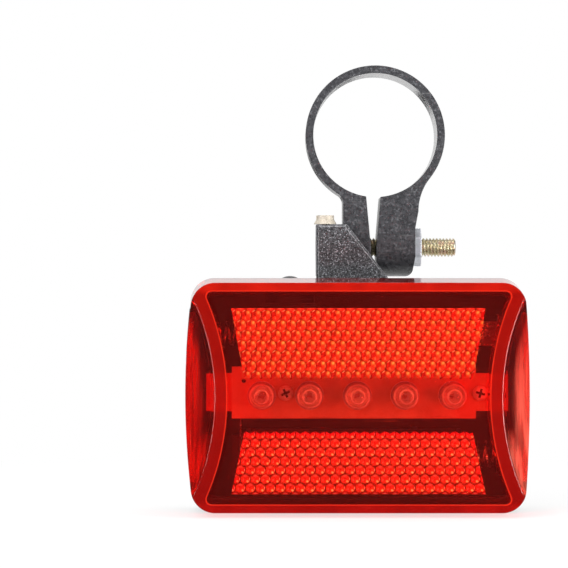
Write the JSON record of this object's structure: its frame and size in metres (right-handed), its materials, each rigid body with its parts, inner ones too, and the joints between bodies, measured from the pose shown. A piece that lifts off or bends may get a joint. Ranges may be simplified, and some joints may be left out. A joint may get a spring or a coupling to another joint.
{
  "type": "bike warning light",
  "caption": "Red rear warning light with a hollow lens, prism panels, LEDs and dry cells, on a split seat-post clamp that tilts about its bolt.",
  "frame": {"origin": "centre of the seat-post clamp's bore, in the middle of the band's depth", "axes": "+Y along the bore, away from the lens's front; +Z from the lamp head up to the clamp; +X to the right as seen from in front of the lens"},
  "size_m": [0.0692, 0.0416, 0.0915],
  "materials": {
    "lens_red": "clear red moulded",
    "prism_red": "prismatic",
    "housing_black": "fine texture",
    "board_white": "solder mask",
    "screw_steel": "zinc plated",
    "led_clear": "clear epoxy",
    "chip_black": "moulded",
    "cell_jacket": "plain printed jacket",
    "contact_nickel": "nickel plated",
    "button_rubber": "soft moulded",
    "ribbon_grey": "smooth",
    "bracket_black": "coarse grain",
    "zinc_yellow": "yellow zinc plated"
  },
  "bodies": {
    "clamp": {"clamp_band": "bracket_black", "clamp_bolt": "zinc_yellow", "clamp_nut": "zinc_yellow", "clamp_washer": "zinc_yellow"},
    "bracket": {"bracket_arm": "bracket_black", "arm_screw": "zinc_yellow"},
    "head": {"rear_housing": "housing_black", "led_board": "board_white", "board_screws": "screw_steel", "led_1": "led_clear", "led_2": "led_clear", "led_3": "led_clear", "led_4": "led_clear", "led_5": "led_clear", "controller_chip": "chip_black", "chip_resistors": "chip_black", "upper_cell": "cell_jacket", "lower_cell": "cell_jacket", "upper_spring": "contact_nickel", "lower_spring": "contact_nickel", "negative_contact": "contact_nickel", "positive_contact": "contact_nickel", "series_bridge": "contact_nickel", "switch_board": "board_white", "tact_switch": "chip_black", "switch_ribbon": "ribbon_grey", "slide_socket": "bracket_black", "socket_screws": "screw_steel"},
    "lens": {"front_lens": "lens_red", "upper_prism_panel": "prism_red", "lower_prism_panel": "prism_red"},
    "button": {"mode_button": "button_rubber"}
  },
  "joints": [
    {"name": "head_tilt", "type": "hinge", "parent": "clamp", "child": "bracket", "pos_m": [-0.0095, 0, -0.0233], "axis": [1, 0, 0], "range_deg": [0, 95]},
    {"name": "head_release", "type": "slide", "parent": "bracket", "child": "head", "axis": [0, 0, -1], "range_m": [0, 0.022]},
    {"name": "lens_off", "type": "slide", "parent": "head", "child": "lens", "axis": [0, -1, 0], "range_m": [0, 0.02]},
    {"name": "mode_press", "type": "slide", "parent": "head", "child": "button", "axis": [0, 0, -1], "range_m": [0, 0.0008], "stiffness_N_per_m": 1500, "springref_m": -0.0003}
  ]
}
